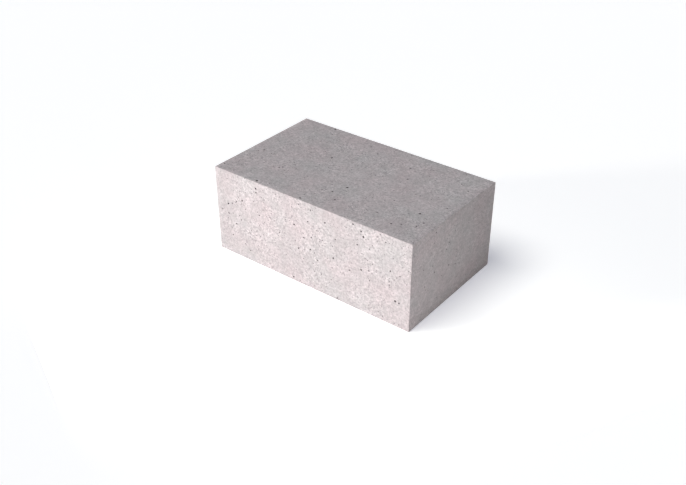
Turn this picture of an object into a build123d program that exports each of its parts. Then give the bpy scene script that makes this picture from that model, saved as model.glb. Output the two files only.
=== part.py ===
from build123d import *
import os

# A solid concrete seating block for squares, gardens and school yards. It is cast in one
# piece, upside down in a steel mould: the seat and the four sides are mould faces, and the
# underside is the open side of the mould, struck off flat and left square at its edges.
#
# Frame: X runs along the block, Y through its depth and Z up from the ground it stands on.
# The origin is the middle of the underside. All lengths are in millimetres.

# Driving dimensions
block_length = 1000.0
block_depth = 600.0
seat_height = 400.0

# Radius that the mould leaves round the seat and down the four corners. It looks crisp, and
# a sharper concrete arris chips as the block is lifted out.
arris_radius = 1.5

with BuildPart() as seating_block:
    # Plan of the mould, cast up to the seat face
    with BuildSketch(Plane.XY):
        Rectangle(block_length, block_depth)
    extrude(amount=seat_height)

    # Eased arrises: the four upright corners and the four edges of the seat. The four
    # edges of the struck underside keep their square corner.
    upright_corners = seating_block.edges().filter_by(Axis.Z)
    seat_edges = seating_block.faces().sort_by(Axis.Z)[-1].edges()
    fillet(upright_corners + seat_edges, radius=arris_radius)

seating_block.part.label = "seating_block"

os.makedirs("parts", exist_ok=True)
export_step(seating_block.part, "parts/seating_block.step")
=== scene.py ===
import bmesh
import bpy
import math
import random
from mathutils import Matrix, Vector, noise


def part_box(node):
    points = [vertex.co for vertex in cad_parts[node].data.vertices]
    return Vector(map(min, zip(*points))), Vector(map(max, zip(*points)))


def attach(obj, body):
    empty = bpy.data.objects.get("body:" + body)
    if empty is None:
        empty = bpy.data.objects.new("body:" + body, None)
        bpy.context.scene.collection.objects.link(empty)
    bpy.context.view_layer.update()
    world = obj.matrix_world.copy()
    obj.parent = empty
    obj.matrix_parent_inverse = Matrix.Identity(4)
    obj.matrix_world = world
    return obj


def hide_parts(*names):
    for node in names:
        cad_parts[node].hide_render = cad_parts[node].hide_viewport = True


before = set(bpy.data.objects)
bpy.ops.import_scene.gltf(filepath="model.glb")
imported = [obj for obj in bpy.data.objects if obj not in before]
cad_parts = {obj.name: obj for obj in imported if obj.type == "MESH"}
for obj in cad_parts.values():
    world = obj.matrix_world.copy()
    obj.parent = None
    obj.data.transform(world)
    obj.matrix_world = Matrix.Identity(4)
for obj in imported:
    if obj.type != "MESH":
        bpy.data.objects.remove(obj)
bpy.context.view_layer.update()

# A cast concrete seating block on a pale studio floor. All of it is in metres and in the CAD
# model's frame: X along the block, Y through its depth, Z up from the ground it stands on.

blockLow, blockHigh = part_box("seating_block")
blockSize = blockHigh - blockLow
blockMiddle = (blockLow + blockHigh) / 2


def mm(length):
    return length / 1000


def onlySelect(piece):
    bpy.ops.object.select_all(action="DESELECT")
    piece.select_set(True)
    bpy.context.view_layer.objects.active = piece


def applyModifier(piece, kind, **settings):
    onlySelect(piece)
    modifier = piece.modifiers.new(kind.lower(), kind)
    for name, value in settings.items():
        setattr(modifier, name, value)
    bpy.ops.object.modifier_apply(modifier=modifier.name)


# The casting

casting = dict(
    arrisRadius=1.5,        # mm, left by the corner strips of the mould
    arrisSteps=3,
    sheetSpacing=25,        # mm between the cuts that let a mould face bow
    sheetBow=0.5,           # mm, how far the steel sheet of the mould bows
    sheetWave=200,          # mm from one bow to the next
    flatUpTo=1,             # mm above the ground, where the struck underside ends
    smoothUnder=35,         # degrees, so that the rims of the voids stay sharp
    sliver=0.002,           # mm, under which an edge that the cuts leave is taken away
)


def castInMould():
    bpy.ops.object.select_all(action="DESELECT")
    bpy.ops.mesh.primitive_cube_add(size=1, location=blockMiddle, scale=blockSize)
    block = bpy.context.active_object
    block.name = block.data.name = "castBlock"
    bpy.ops.object.transform_apply(location=True, rotation=True, scale=True)

    # Ease the four edges of the seat and the four upright corners. The underside stays square.
    bpy.ops.object.mode_set(mode="EDIT")
    bpy.ops.mesh.select_mode(type="EDGE")
    mesh = bmesh.from_edit_mesh(block.data)
    for edge in mesh.edges:
        edge.select = any(corner.co.z > blockMiddle.z for corner in edge.verts)
    bmesh.update_edit_mesh(block.data)
    bpy.ops.mesh.bevel(
        offset=mm(casting["arrisRadius"]), segments=casting["arrisSteps"], profile=0.5, affect="EDGES"
    )

    # Cut the faces into a net that can bow
    for axis in range(3):
        cuts = round(blockSize[axis] / mm(casting["sheetSpacing"]))
        for cut in range(1, cuts):
            place, normal = Vector(), Vector()
            place[axis] = blockLow[axis] + blockSize[axis] * cut / cuts
            normal[axis] = 1
            bpy.ops.mesh.select_all(action="SELECT")
            bpy.ops.mesh.bisect(plane_co=place, plane_no=normal)
    bpy.ops.object.mode_set(mode="OBJECT")

    # The steel bows inwards only, so the block stays inside its nominal size. The struck
    # underside is left flat on the ground.
    moulded = block.vertex_groups.new(name="moulded")
    lowest = blockLow.z + mm(casting["flatUpTo"])
    moulded.add([corner.index for corner in block.data.vertices if corner.co.z > lowest], 1, "REPLACE")
    steelSheet = bpy.data.textures.new("steelSheet", "CLOUDS")
    steelSheet.noise_scale = mm(casting["sheetWave"])
    applyModifier(
        block, "DISPLACE", texture=steelSheet, texture_coords="LOCAL", direction="NORMAL",
        strength=mm(casting["sheetBow"]), mid_level=1, vertex_group="moulded",
    )
    block.vertex_groups.clear()
    print("cast the block:", len(block.data.polygons), "faces")
    return block


# The six sides. Each has its own origin corner, as a share of the block's size, and is seen from
# outside: along runs to the right and up runs upwards.

sides = dict(
    front=dict(corner=(0, 0, 0), along="+X", up="+Z"),
    back=dict(corner=(1, 1, 0), along="-X", up="+Z"),
    right=dict(corner=(1, 0, 0), along="+Y", up="+Z"),
    left=dict(corner=(0, 1, 0), along="-Y", up="+Z"),
    seat=dict(corner=(0, 0, 1), along="+X", up="+Y"),
    underside=dict(corner=(0, 1, 0), along="+X", up="-Y"),
)


def axisVector(name):
    direction = Vector()
    direction["XYZ".index(name[1])] = 1 if name[0] == "+" else -1
    return direction


for number, side in enumerate(sides.values(), start=1):
    side["number"] = number
    side["corner"] = blockLow + Vector(side["corner"]) * blockSize
    side["along"], side["up"] = axisVector(side["along"]), axisVector(side["up"])
    side["out"] = side["along"].cross(side["up"])
    side["length"] = abs(side["along"].dot(blockSize))
    side["height"] = abs(side["up"].dot(blockSize))


# The voids that air bubbles leave against the mould. The seat was the bottom of the mould, and
# has fewer.

voids = dict(
    placed=dict(            # the larger ones, one by one: mm along, mm up and mm across
        front=[
            (228, 370, 9.5), (230, 352, 6.5), (147, 285, 8.5), (64, 242, 9.5), (430, 275, 9.5),
            (480, 231, 7.5), (519, 247, 8.5), (450, 169, 8.5), (512, 187, 8), (590, 342, 8.5),
            (630, 193, 9), (712, 170, 7.5), (765, 369, 8.5), (777, 349, 10), (748, 303, 8),
            (768, 195, 9.5), (805, 205, 8), (809, 161, 7), (950, 240, 6), (932, 118, 10),
            (950, 116, 9.5), (419, 15, 9.5), (650, 8, 7.5), (105, 157, 8.5), (550, 150, 8),
            (350, 207, 6), (273, 333, 6.5), (63, 195, 8.5), (517, 373, 7.5), (727, 387, 8.5),
            (900, 193, 4.5), (503, 315, 7.5), (457, 378, 5), (112, 268, 6.5), (567, 89, 5.5),
            (135, 187, 6.5), (988, 280, 5.5), (905, 246, 8), (178, 50, 7.5), (240, 248, 7.5),
            (300, 260, 5.5),
        ],
        seat=[
            (180, 588, 11), (200, 540, 7.5), (303, 490, 6.5), (167, 443, 8), (203, 457, 7), (340, 360, 12),
            (62, 239, 11), (230, 168, 9.5), (219, 158, 8.5), (193, 150, 7), (283, 193, 5.5), (365, 170, 6),
            (550, 195, 11), (485, 179, 7.5), (522, 133, 9), (480, 119, 8), (571, 87, 9.5), (223, 16, 12),
            (473, 510, 9), (410, 547, 8), (657, 487, 11), (747, 527, 7.5), (703, 401, 9.5), (580, 347, 5.5),
            (820, 317, 8), (897, 202, 10.5), (863, 175, 7), (945, 153, 9.5), (938, 116, 9), (885, 93, 6.5),
            (851, 75, 9), (760, 110, 8), (957, 300, 8), (870, 323, 6), (873, 580, 6), (900, 500, 7),
            (950, 467, 8), (454, 14, 11), (415, 475, 7), (510, 480, 5), (760, 225, 7.5),
        ],
        right=[
            (160, 375, 7.5), (290, 343, 5), (263, 280, 6.5), (270, 170, 8.5), (320, 150, 6), (437, 350, 6.5),
            (83, 243, 6.5), (99, 159, 7.5), (300, 317, 5.5),
        ],
    ),
    perSquareMetre=dict(front=1100, back=1700, right=600, left=800, seat=800),
    smallest=2.6,           # mm across the mouth
    spread=1.5,             # mm, how much wider than the smallest they are on average
    widestScattered=6.5,    # mm on the sides that also have placed ones
    widest=11.0,            # mm on the others
    gather=90,              # mm from a patch with many to a patch with few
    evenly=0.5,             # how many of them are kept in an average patch,
    unevenly=0.7,           # and how much that goes up and down
    apart=1.25,             # centres are at least this many times their two radii apart
    depth=(0.8, 1.4),       # of the radius
    squeeze=(0.6, 1.0),     # a bubble held by the steel is seldom quite round
    shapes=4,               # different ones of each kind, each used many times
    smallUnder=8,           # mm, under which a void has few faces
    smallShape=dict(subdivisions=2, roughness=0.10),    # roughness is a share of the radius
    largeShape=dict(subdivisions=3, roughness=0.05),
    seed=11,
)

# Where the arrises lost a crumb as the block was lifted and handled
chips = dict(
    perMetre=3.0,
    width=(1.5, 4.0),       # mm across
    stretch=(1.0, 2.2),     # longer than wide, along the arris
    shapes=3,
    shape=dict(subdivisions=2, roughness=0.2),
    proud=(-0.15, 0.15),    # of the radius, how far the middle lies outside the arris
    upTo=0.48,              # of the arris, either way from its middle
    seed=5,
)


# A ball a little out of true, as points and faces
def shapeOf(kind, seed):
    bpy.ops.object.select_all(action="DESELECT")
    bpy.ops.mesh.primitive_ico_sphere_add(subdivisions=kind["subdivisions"], radius=1)
    ball = bpy.context.active_object
    bpy.ops.object.mode_set(mode="EDIT")
    bpy.ops.mesh.select_all(action="SELECT")
    bpy.ops.transform.vertex_random(offset=kind["roughness"], normal=1, seed=seed)
    bpy.ops.object.mode_set(mode="OBJECT")
    points = [corner.co.copy() for corner in ball.data.vertices]
    faces = [tuple(face.vertices) for face in ball.data.polygons]
    bpy.data.objects.remove(ball)
    return points, faces


# Gathers copies of the shapes in one mesh, which a single Boolean then takes from the block. A void has 1 as
# its wall, which gives it a darker colour for dust and painted shade, and the number of its side as its
# owner.
class Cutters:
    def __init__(self):
        self.points, self.faces, self.walls, self.owners, self.taken = [], [], [], [], []

    def isFree(self, middle, radius):
        return all((middle - other).length > voids["apart"] * (radius + size) for other, size in self.taken)

    def add(self, shape, middle, radius, axes, stretch, wall, owner):
        points, faces = shape
        first = len(self.points)
        for point in points:
            corner = middle.copy()
            for axis, length, share in zip(axes, stretch, point):
                corner += axis * (share * length * radius)
            self.points.append(corner)
        for face in faces:
            self.faces.append([first + index for index in face])
            self.walls.append(wall)
            self.owners.append(owner)
        self.taken.append((middle, radius * max(1, *stretch[:2])))

    def build(self):
        mesh = bpy.data.meshes.new("cutters")
        mesh.from_pydata(self.points, [], self.faces)
        mesh.attributes.new("voidWall", "FLOAT", "FACE").data.foreach_set("value", self.walls)
        mesh.attributes.new("ownSide", "INT", "FACE").data.foreach_set("value", self.owners)
        cutters = bpy.data.objects.new("cutters", mesh)
        bpy.context.scene.collection.objects.link(cutters)
        return cutters


def voidPlaces(rng):
    for name, density in voids["perSquareMetre"].items():
        side = sides[name]
        placed = voids["placed"].get(name, [])
        for along, up, width in placed:
            yield side, mm(along), mm(up), mm(width)
        widest = voids["widestScattered"] if placed else voids["widest"]
        for _ in range(round(density * side["length"] * side["height"])):
            width = voids["smallest"] + rng.expovariate(1 / voids["spread"])
            margin = mm(width / 2 + casting["arrisRadius"])
            along = rng.uniform(margin, side["length"] - margin)
            up = rng.uniform(margin, side["height"] - margin)
            place = side["corner"] + side["along"] * along + side["up"] * up
            kept = voids["evenly"] + voids["unevenly"] * noise.noise(place / mm(voids["gather"]))
            if width < widest and rng.random() < kept:
                yield side, along, up, mm(width)


def addVoids(cutters):
    rng = random.Random(voids["seed"])
    count = voids["shapes"]
    small = [shapeOf(voids["smallShape"], seed) for seed in range(count)]
    large = [shapeOf(voids["largeShape"], seed) for seed in range(count, 2 * count)]
    for side, along, up, width in voidPlaces(rng):
        middle = side["corner"] + side["along"] * along + side["up"] * up
        if not cutters.isFree(middle, width / 2):
            continue
        turn = rng.uniform(0, 2 * math.pi)
        axes = (
            side["along"] * math.cos(turn) + side["up"] * math.sin(turn),
            side["up"] * math.cos(turn) - side["along"] * math.sin(turn),
            side["out"],
        )
        stretch = (1, rng.uniform(*voids["squeeze"]), rng.uniform(*voids["depth"]))
        shape = rng.choice(small if width < mm(voids["smallUnder"]) else large)
        cutters.add(shape, middle, width / 2, axes, stretch, wall=1, owner=side["number"])


def addChips(cutters):
    rng = random.Random(chips["seed"])
    crumbs = [shapeOf(chips["shape"], seed) for seed in range(chips["shapes"])]
    for axis in range(3):
        along = Vector()
        along[axis] = 1
        across, over = Vector(along.zxy), Vector(along.yzx)
        for signs in ((-1, -1), (-1, 1), (1, -1), (1, 1)):
            outward = across * signs[0] + over * signs[1]
            for _ in range(round(chips["perMetre"] * blockSize[axis])):
                radius = mm(rng.uniform(*chips["width"])) / 2
                stretch = (rng.uniform(*chips["stretch"]), 1, 1)
                place = rng.uniform(-chips["upTo"], chips["upTo"])
                middle = blockMiddle + along * (place * blockSize[axis]) + outward * blockSize / 2
                middle += outward * (radius * rng.uniform(*chips["proud"]))
                if cutters.isFree(middle, radius * stretch[0]):
                    axes = (along, across, over)
                    cutters.add(rng.choice(crumbs), middle, radius, axes, stretch, wall=0, owner=0)


def cutSurface(block):
    cutters = Cutters()
    addVoids(cutters)
    voidCount = len(cutters.taken)
    addChips(cutters)
    print("made", voidCount, "voids and", len(cutters.taken) - voidCount, "chips")
    shapes = cutters.build()
    applyModifier(block, "BOOLEAN", operation="DIFFERENCE", object=shapes, solver="MANIFOLD")
    bpy.data.objects.remove(shapes)

    # The cut leaves a few slivers too small to see
    onlySelect(block)
    bpy.ops.object.mode_set(mode="EDIT")
    bpy.ops.mesh.select_all(action="SELECT")
    bpy.ops.mesh.dissolve_degenerate(threshold=mm(casting["sliver"]))
    bpy.ops.object.mode_set(mode="OBJECT")
    print("cut them:", sum(len(face.vertices) - 2 for face in block.data.polygons), "triangles")


# A flat sheet with the six sides side by side, in metres, for painting or baking. The ends are
# turned, and the underside is smaller because nothing shows there.
sheet = dict(
    width=1.43,
    places=dict(
        back=(0.01, 0.01), front=(0.01, 0.42), seat=(0.01, 0.83),
        left=(1.02, 0.22), right=(1.02, 0.83), underside=(1.02, 0.01),
    ),
    turned=("left", "right"),
    undersideScale=0.33,
)


def layOutSheet(block):
    mesh = block.data
    while mesh.uv_layers:
        mesh.uv_layers.remove(mesh.uv_layers[0])
    layer = mesh.uv_layers.new(name="OFBake", do_init=False)
    names = list(sides)
    for face, owner in zip(mesh.polygons, mesh.attributes["ownSide"].data):
        if owner.value:
            name = names[owner.value - 1]
        else:
            name = max(names, key=lambda n: (face.center - sides[n]["corner"]).dot(sides[n]["out"]))
        side, (left, low) = sides[name], sheet["places"][name]
        scale = sheet["undersideScale"] if name == "underside" else 1
        for loop in face.loop_indices:
            place = mesh.vertices[mesh.loops[loop].vertex_index].co - side["corner"]
            spot = [place.dot(side["along"]) * scale, place.dot(side["up"]) * scale]
            if name in sheet["turned"]:
                spot.reverse()
            layer.data[loop].uv = ((left + spot[0]) / sheet["width"], (low + spot[1]) / sheet["width"])
    print("laid out its", len(sides), "sides on a sheet")


castBlock = castInMould()
cutSurface(castBlock)
layOutSheet(castBlock)
onlySelect(castBlock)
bpy.ops.object.shade_smooth_by_angle(angle=math.radians(casting["smoothUnder"]))


# Materials

def linearFromHex(code):
    channels = [int(code[at:at + 2], 16) / 255 for at in (1, 3, 5)]
    return [c / 12.92 if c <= 0.04045 else ((c + 0.055) / 1.055) ** 2.4 for c in channels] + [1]


def newMaterial(name):
    material = bpy.data.materials.new(name)
    material.use_nodes = True
    material.node_tree.nodes.clear()
    return material, material.node_tree


# The scale of a pattern whose features are this many mm apart
def scaleFor(size):
    return 1000 / size


# One node with its settings. A link's name is an input's name or number.
def addNode(tree, kind, links=None, **settings):
    node = tree.nodes.new(kind)
    inputs = settings.pop("inputs", {})
    for name, value in settings.items():
        setattr(node, name, value)
    for name, value in inputs.items():
        node.inputs[name].default_value = value
    for name, source in (links or {}).items():
        tree.links.new(source, node.inputs[name])
    return node


# Fair-faced concrete, cast against oiled steel. The steel leaves a flat and matt skin of cement,
# cloudy where it cured unevenly, with the sand just showing through it and small air holes.

concrete = dict(
    pinkPaste="#B8ADAE",    # where the red fines of the sand gather
    greyPaste="#B4AFAF",    # where more cement covers them
    drift=120,              # mm, over which the paste goes from one to the other
    voidShade=0.45,         # dust and painted shade in the voids, against the paste

    # How much lighter and darker the skin is, from palest to darkest, over lengths in mm
    skinShades=dict(
        curingClouds=dict(size=180, detail=3, depth=0.10),
        oilPatches=dict(size=45, detail=2, depth=0.09),
        cementSpeckle=dict(size=3, detail=2, depth=0.22),
        sandFines=dict(size=1.2, detail=1, depth=0.25),
    ),

    # How much of the sand, its grains and the pinholes shows through the skin, in patches whose
    # noise has this span. The steel at the two ends is newer and leaves a thicker skin, so there it
    # is less. The change is made over the arris, between two distances in mm from the end.
    thinSkin=dict(size=90, span=0.3, least=0.75, most=1.3, atEnds=0.75, changeFrom=4, changeTo=1),
    sandMottle=dict(size=9, detail=2, depth=0.43),
    grains=5,               # mm between the grains of sand at the surface, drawn coarse to show
    grainWidth=4.8,         # mm across at most
    grainCore=0.5,          # of its radius, outside which a grain fades into the paste
    grainShade=0.5,         # how much darker or paler than the paste the extreme ones are
    pinholes=7,             # mm between the smallest air holes, too small to be worth cutting
    pinholeWidth=3.8,       # mm across the widest, and more where the skin is thin
    pinholeRim=0.3,         # mm, from the skin to the painted shade of the hole
    # painted shade: how dark a pinhole is drawn, against the paste
    pinholePaintedShade=0.28,
    unevenness=1.6,         # mm, by which grains and pinholes are out of round
    unevenOver=4,           # mm from one such dent to the next

    skinGrit=1.8, skinHeight=0.2,       # mm, what the fingers feel on a moulded side
    sandHeight=0.5,                     # mm, how far the sand pushes the skin up
    struckGrit=9, struckHeight=1.2,     # mm, the open side, pulled flat with a board
    struckUpTo=0.5,                     # mm above the ground
    roughness=0.9,
)
noiseSpan = 0.4             # Blender's noise keeps mostly within this, round a half
noiseLow, noiseHigh = 0.5 - noiseSpan / 2, 0.5 + noiseSpan / 2
noiseRoughness = 0.6        # how strong the finest parts of a cloudy pattern are


# The paste drifts between pink and grey over a hand's width
def pasteColour(tree, place):
    drift = addNode(tree, "ShaderNodeTexNoise", {"Vector": place}, inputs={
        "Scale": scaleFor(concrete["drift"]), "Detail": 4})
    share = addNode(tree, "ShaderNodeMapRange", {"Value": drift.outputs[0]}, clamp=False, inputs={
        "From Min": noiseLow, "From Max": noiseHigh})
    paste = addNode(tree, "ShaderNodeMixRGB", {"Fac": share.outputs[0]}, inputs={
        "Color1": linearFromHex(concrete["pinkPaste"]), "Color2": linearFromHex(concrete["greyPaste"])})
    return paste.outputs[0]


# The walls of the voids are darker, for dust and painted shade. Elsewhere the skin has its clouds, patches
# and speckle.
def skinShade(tree, place):
    wall = addNode(tree, "ShaderNodeAttribute", attribute_name="voidWall")
    shade = addNode(tree, "ShaderNodeMapRange", {"Value": wall.outputs["Fac"]}, inputs={
        "To Min": 1, "To Max": concrete["voidShade"]})
    for pattern in concrete["skinShades"].values():
        cloud = addNode(tree, "ShaderNodeTexNoise", {"Vector": place}, inputs={
            "Scale": scaleFor(pattern["size"]), "Detail": pattern["detail"], "Roughness": noiseRoughness})
        spread = addNode(tree, "ShaderNodeMapRange", {"Value": cloud.outputs[0]}, clamp=False, inputs={
            "From Min": noiseLow, "From Max": noiseHigh,
            "To Min": 1 - pattern["depth"] / 2, "To Max": 1 + pattern["depth"] / 2})
        shade = addNode(tree, "ShaderNodeMath", {0: shade.outputs[0], 1: spread.outputs[0]},
                        operation="MULTIPLY")
    return shade.outputs[0]


def skinThinness(tree, place):
    thinSkin = concrete["thinSkin"]
    patches = addNode(tree, "ShaderNodeTexNoise", {"Vector": place}, inputs={
        "Scale": scaleFor(thinSkin["size"]), "Detail": 2})
    thin = addNode(tree, "ShaderNodeMapRange", {"Value": patches.outputs[0]}, inputs={
        "From Min": 0.5 - thinSkin["span"] / 2, "From Max": 0.5 + thinSkin["span"] / 2,
        "To Min": thinSkin["least"], "To Max": thinSkin["most"]})

    # Along the block, from its middle to its ends
    along = addNode(tree, "ShaderNodeSeparateXYZ", {"Vector": place})
    fromMiddle = addNode(tree, "ShaderNodeMath", {0: along.outputs["X"]}, operation="ABSOLUTE")
    atEnds = addNode(tree, "ShaderNodeMapRange", {"Value": fromMiddle.outputs[0]}, inputs={
        "From Min": blockSize.x / 2 - mm(thinSkin["changeFrom"]),
        "From Max": blockSize.x / 2 - mm(thinSkin["changeTo"]),
        "To Min": 1, "To Max": thinSkin["atEnds"]})
    thin = addNode(tree, "ShaderNodeMath", {0: thin.outputs[0], 1: atEnds.outputs[0]}, operation="MULTIPLY")
    return thin.outputs[0]


# The sand as a whole, seen through the skin: its shade and, for the relief, its pattern
def sandMottle(tree, place, thin):
    sand = concrete["sandMottle"]
    mottle = addNode(tree, "ShaderNodeTexNoise", {"Vector": place}, inputs={
        "Scale": scaleFor(sand["size"]), "Detail": sand["detail"], "Roughness": noiseRoughness})
    centred = addNode(tree, "ShaderNodeMath", {0: mottle.outputs[0]}, operation="SUBTRACT", inputs={1: 0.5})
    shown = addNode(tree, "ShaderNodeMath", {0: centred.outputs[0], 1: thin}, operation="MULTIPLY")
    shade = addNode(tree, "ShaderNodeMath", {0: shown.outputs[0]}, operation="MULTIPLY_ADD",
                    inputs={1: sand["depth"] / noiseSpan, 2: 1})
    return shade.outputs[0], mottle.outputs[0]


# Grains and pinholes are out of round, so their patterns are read from a shaken place. The noise
# shakes it by half its strength each way, so the strength is twice the unevenness.
def shakenPlace(tree, place):
    shake = addNode(tree, "ShaderNodeTexNoise", {"Vector": place}, inputs={
        "Scale": scaleFor(concrete["unevenOver"]), "Detail": 2})
    amount = [mm(concrete["unevenness"]) * 2] * 3
    shaken = addNode(tree, "ShaderNodeVectorMath", {0: shake.outputs["Color"], 2: place},
                     operation="MULTIPLY_ADD", inputs={1: amount})
    return shaken.outputs[0]


# Each Voronoi cell is a grain with random numbers of its own. One sets its width. Another, from -0.5
# to 0.5 and times its own size, is its shade, so most grains are near the paste's. That makes a
# quarter at most, so it is taken four times.
def grainShade(tree, shaken, thin):
    sand = addNode(tree, "ShaderNodeTexVoronoi", {"Vector": shaken}, inputs={
        "Scale": scaleFor(concrete["grains"])})
    numbers = addNode(tree, "ShaderNodeSeparateColor", {"Color": sand.outputs["Color"]})
    width = addNode(tree, "ShaderNodeMath", {0: numbers.outputs[1]}, operation="MULTIPLY",
                    inputs={1: concrete["grainWidth"] / 2 / concrete["grains"]})
    outwards = addNode(tree, "ShaderNodeMath", {0: sand.outputs["Distance"], 1: width.outputs[0]},
                       operation="DIVIDE")
    inGrain = addNode(tree, "ShaderNodeMapRange", {"Value": outwards.outputs[0]}, inputs={
        "From Min": concrete["grainCore"], "From Max": 1, "To Min": 1, "To Max": 0})
    centred = addNode(tree, "ShaderNodeMath", {0: numbers.outputs[0]}, operation="SUBTRACT", inputs={1: 0.5})
    size = addNode(tree, "ShaderNodeMath", {0: centred.outputs[0]}, operation="ABSOLUTE")
    tone = addNode(tree, "ShaderNodeMath", {0: centred.outputs[0], 1: size.outputs[0]}, operation="MULTIPLY")
    tone = addNode(tree, "ShaderNodeMath", {0: tone.outputs[0], 1: thin}, operation="MULTIPLY")
    seen = addNode(tree, "ShaderNodeMath", {0: tone.outputs[0], 1: inGrain.outputs[0]}, operation="MULTIPLY")
    shade = addNode(tree, "ShaderNodeMath", {0: seen.outputs[0]}, operation="MULTIPLY_ADD",
                    inputs={1: 4 * concrete["grainShade"], 2: 1})
    return shade.outputs[0]


# The radius of a pinhole is its cell's random number squared, so few are wide. Lengths are shares
# of a cell.
def pinholes(tree, shaken, thin):
    holes = addNode(tree, "ShaderNodeTexVoronoi", {"Vector": shaken}, inputs={
        "Scale": scaleFor(concrete["pinholes"])})
    number = addNode(tree, "ShaderNodeSeparateColor", {"Color": holes.outputs["Color"]}).outputs[0]
    squared = addNode(tree, "ShaderNodeMath", {0: number, 1: number}, operation="MULTIPLY")
    squared = addNode(tree, "ShaderNodeMath", {0: squared.outputs[0], 1: thin}, operation="MULTIPLY")
    radius = addNode(tree, "ShaderNodeMath", {0: squared.outputs[0]}, operation="MULTIPLY",
                     inputs={1: concrete["pinholeWidth"] / 2 / concrete["pinholes"]})
    depth = addNode(tree, "ShaderNodeMath", {0: radius.outputs[0], 1: holes.outputs["Distance"]},
                    operation="SUBTRACT", use_clamp=True)
    # Painted shade: each hole is drawn darker from its rim inwards, for the shade in it
    shade = addNode(tree, "ShaderNodeMapRange", {"Value": depth.outputs[0]}, inputs={
        "From Max": concrete["pinholeRim"] / concrete["pinholes"],
        "To Min": 1, "To Max": concrete["pinholePaintedShade"]})
    return shade.outputs[0], depth.outputs[0]


# In metres: the grit of the skin, the sand, the pinholes, and the ridges of the struck underside
def surfaceRelief(tree, place, mottle, depth):
    grit = addNode(tree, "ShaderNodeTexNoise", {"Vector": place}, inputs={
        "Scale": scaleFor(concrete["skinGrit"]), "Detail": 2})
    relief = addNode(tree, "ShaderNodeMath", {0: grit.outputs[0]}, operation="MULTIPLY",
                     inputs={1: mm(concrete["skinHeight"])})
    ridges = addNode(tree, "ShaderNodeTexNoise", {"Vector": place}, inputs={
        "Scale": scaleFor(concrete["struckGrit"]), "Detail": 3})
    height = addNode(tree, "ShaderNodeSeparateXYZ", {"Vector": place})
    struck = addNode(tree, "ShaderNodeMath", {0: height.outputs["Z"]}, operation="LESS_THAN",
                     inputs={1: blockLow.z + mm(concrete["struckUpTo"])})
    ridge = addNode(tree, "ShaderNodeMath", {0: ridges.outputs[0], 1: struck.outputs[0]},
                    operation="MULTIPLY")
    for pattern, metres in (
        (ridge.outputs[0], mm(concrete["struckHeight"])),
        (mottle, mm(concrete["sandHeight"])),
        (depth, -mm(concrete["pinholes"])),
    ):
        relief = addNode(tree, "ShaderNodeMath", {0: pattern, 2: relief.outputs[0]}, operation="MULTIPLY_ADD",
                         inputs={1: metres})
    return relief.outputs[0]


def castConcrete():
    material, tree = newMaterial("fairFacedConcrete")
    place = addNode(tree, "ShaderNodeTexCoord").outputs["Object"]
    shaken = shakenPlace(tree, place)
    thin = skinThinness(tree, place)
    sandShade, mottle = sandMottle(tree, place, thin)
    holeShade, depth = pinholes(tree, shaken, thin)

    shade = skinShade(tree, place)
    # holeShade is the painted shade of the pinholes
    for darker in (sandShade, grainShade(tree, shaken, thin), holeShade):
        shade = addNode(tree, "ShaderNodeMath", {0: shade, 1: darker}, operation="MULTIPLY").outputs[0]
    colour = addNode(tree, "ShaderNodeVectorMath", {"Vector": pasteColour(tree, place), "Scale": shade},
                     operation="SCALE")
    bump = addNode(tree, "ShaderNodeBump", {"Height": surfaceRelief(tree, place, mottle, depth)},
                   inputs={"Strength": 1, "Distance": 1})
    shader = addNode(
        tree, "ShaderNodeBsdfPrincipled", {"Base Color": colour.outputs[0], "Normal": bump.outputs[0]},
        inputs={"Roughness": concrete["roughness"], "IOR": 1.5},
    )
    addNode(tree, "ShaderNodeOutputMaterial", {"Surface": shader.outputs["BSDF"]})
    print("mixed the concrete:", len(tree.nodes), "nodes")
    return material


castBlock.data.materials.clear()
castBlock.data.materials.append(castConcrete())
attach(castBlock, "root")
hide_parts("seating_block")


# The studio

studio = dict(
    floorSize=40,               # m
    floorPaper="#F2F2F2",       # what the floor throws back on the block
    shadowTint="#FFFCF1",       # what the camera sees of the light on the floor
    floorGlow="#9699A6",        # what the camera adds to it, so that the open floor is white
    sky="#FFFFFF", skyLevel=0.055,
    lampDistance=3,             # m, for the lamps whose light is the same from any distance
)


# 1 for what the camera sees, also in a mirror or through glass, and 0 for light thrown back
def seenByCamera(tree):
    ray = addNode(tree, "ShaderNodeLightPath")
    mirrored = addNode(tree, "ShaderNodeMath", {
        0: ray.outputs["Is Glossy Ray"], 1: ray.outputs["Is Transmission Ray"]}, operation="MAXIMUM")
    direct = addNode(tree, "ShaderNodeMath", {
        0: ray.outputs["Is Camera Ray"], 1: mirrored.outputs[0]}, operation="MAXIMUM")
    return direct.outputs[0]


def studioFloor():
    bpy.ops.object.select_all(action="DESELECT")
    bpy.ops.mesh.primitive_plane_add(size=studio["floorSize"], location=(0, 0, blockLow.z))
    floor = bpy.context.active_object
    floor.name = "studioFloor"
    material, tree = newMaterial("studioPaper")
    paper = addNode(tree, "ShaderNodeBsdfDiffuse", inputs={"Color": linearFromHex(studio["floorPaper"])})
    seen = addNode(tree, "ShaderNodeBsdfDiffuse", inputs={"Color": linearFromHex(studio["shadowTint"])})
    glow = addNode(tree, "ShaderNodeEmission", inputs={
        "Color": linearFromHex(studio["floorGlow"]), "Strength": 1})
    white = addNode(tree, "ShaderNodeAddShader", {0: seen.outputs[0], 1: glow.outputs[0]})
    mixed = addNode(tree, "ShaderNodeMixShader", {
        0: seenByCamera(tree), 1: paper.outputs[0], 2: white.outputs[0]})
    addNode(tree, "ShaderNodeOutputMaterial", {"Surface": mixed.outputs[0]})
    floor.data.materials.append(material)


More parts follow.
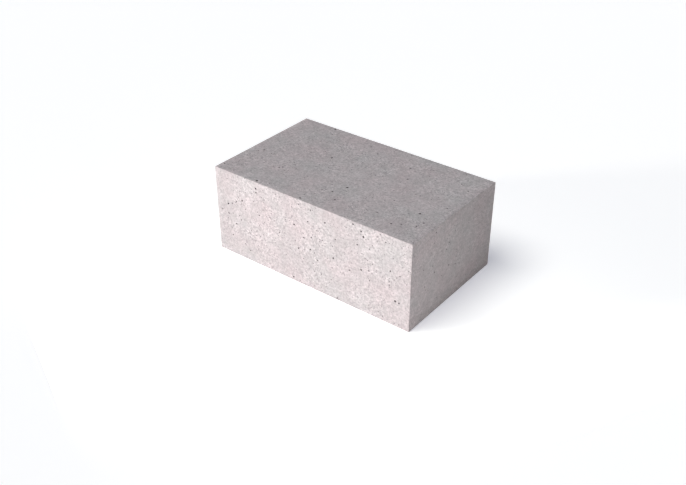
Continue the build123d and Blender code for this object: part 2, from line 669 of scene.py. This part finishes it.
def studioSky():
    world = bpy.data.worlds.new("studioSky")
    world.use_nodes = True
    tree = world.node_tree
    tree.nodes.clear()
    sky = addNode(tree, "ShaderNodeBackground", inputs={
        "Color": linearFromHex(studio["sky"]), "Strength": studio["skyLevel"]})
    white = addNode(tree, "ShaderNodeBackground", inputs={"Color": (1, 1, 1, 1), "Strength": 1})
    mixed = addNode(tree, "ShaderNodeMixShader", {
        0: seenByCamera(tree), 1: sky.outputs[0], 2: white.outputs[0]})
    addNode(tree, "ShaderNodeOutputWorld", {"Surface": mixed.outputs[0]})
    bpy.context.scene.world = world


# From the block towards a place round it. Azimuth 0 is in front and 90 is at the right end.
def viewDirection(azimuth, elevation):
    turned, raised = math.radians(azimuth), math.radians(elevation)
    level = math.cos(raised)
    return Vector((math.sin(turned) * level, -math.cos(turned) * level, math.sin(raised)))


# These light a whole side alike. Azimuth, elevation and spread are in degrees.
lamps = dict(
    overheadSoftbox=dict(azimuth=-31, elevation=64, spread=36, level=0.65, colour="#F8FBFF"),
    keySoftbox=dict(azimuth=-43, elevation=2, spread=8, level=1.40, colour="#FFFCFA"),
    backSoftbox=dict(azimuth=170, elevation=3, spread=20, level=0.31, colour="#FFFFFF"),
)

# These stand close to a side and light its nearest part more. Place and size are in m.
fills = dict(
    endSoftbox=dict(side="right", place=(1.25, -0.38, 0.26), size=0.5, level=0.257, colour="#FFFFFF"),
    frontSoftbox=dict(side="front", place=(-0.45, -1.30, 0.06), size=0.5, level=0.175, colour="#FFFFFF"),
    seatSoftbox=dict(side="seat", place=(-0.10, -0.60, 1.50), size=0.6, level=0.035, colour="#FFFFFF"),
)


# One lamp on a stand. Its Z axis points back from what it lights.
def hangLamp(name, kind, colour, place, towards):
    light = bpy.data.lights.new(name, kind)
    light.color = linearFromHex(colour)[:3]
    hung = bpy.data.objects.new(name, light)
    bpy.context.scene.collection.objects.link(hung)
    hung.location = place
    hung.rotation_euler = towards.to_track_quat("Z", "Y").to_euler()
    hung.visible_camera = False
    return light


# At level 1 a lamp shows a white surface as white. A sun takes pi for that, and an area lamp takes
# pi squared at a distance of 1 m.
def hangLamps():
    for name, lamp in lamps.items():
        towards = viewDirection(lamp["azimuth"], lamp["elevation"])
        place = blockMiddle + towards * studio["lampDistance"]
        light = hangLamp(name, "SUN", lamp["colour"], place, towards)
        light.angle = math.radians(lamp["spread"])
        light.energy = lamp["level"] * math.pi
    for name, fill in fills.items():
        side, place = sides[fill["side"]], Vector(fill["place"])
        middle = side["corner"] + (side["along"] * side["length"] + side["up"] * side["height"]) / 2
        towards = place - middle
        light = hangLamp(name, "AREA", fill["colour"], place, towards)
        light.size = fill["size"]
        light.energy = fill["level"] * math.pi ** 2 * towards.length ** 2
    print("hung", len(lamps) + len(fills), "lamps")


shot = dict(
    azimuth=37.78, elevation=32.56, distance=4.017,      # degrees, and m from the underside's middle
    aimRight=-0.0422, aimUp=0.0546,                      # m in the picture plane
    lens=48.35, film=36,                                 # mm
    clipEnd=100,                                         # m
)


def placeCamera():
    back = viewDirection(shot["azimuth"], shot["elevation"])
    turned = math.radians(shot["azimuth"])
    right = Vector((math.cos(turned), math.sin(turned), 0))
    up = back.cross(right)
    camera = bpy.data.cameras.new("camera")
    camera.lens, camera.sensor_width, camera.sensor_fit = shot["lens"], shot["film"], "HORIZONTAL"
    camera.clip_end = shot["clipEnd"]
    stand = bpy.data.objects.new("camera", camera)
    bpy.context.scene.collection.objects.link(stand)
    stand.location = back * shot["distance"] + right * shot["aimRight"] + up * shot["aimUp"]
    stand.rotation_euler = back.to_track_quat("Z", "Y").to_euler()
    bpy.context.scene.camera = stand


studioFloor()
studioSky()
hangLamps()
placeCamera()
bpy.context.scene.view_settings.view_transform = "Standard"
print("set the studio")
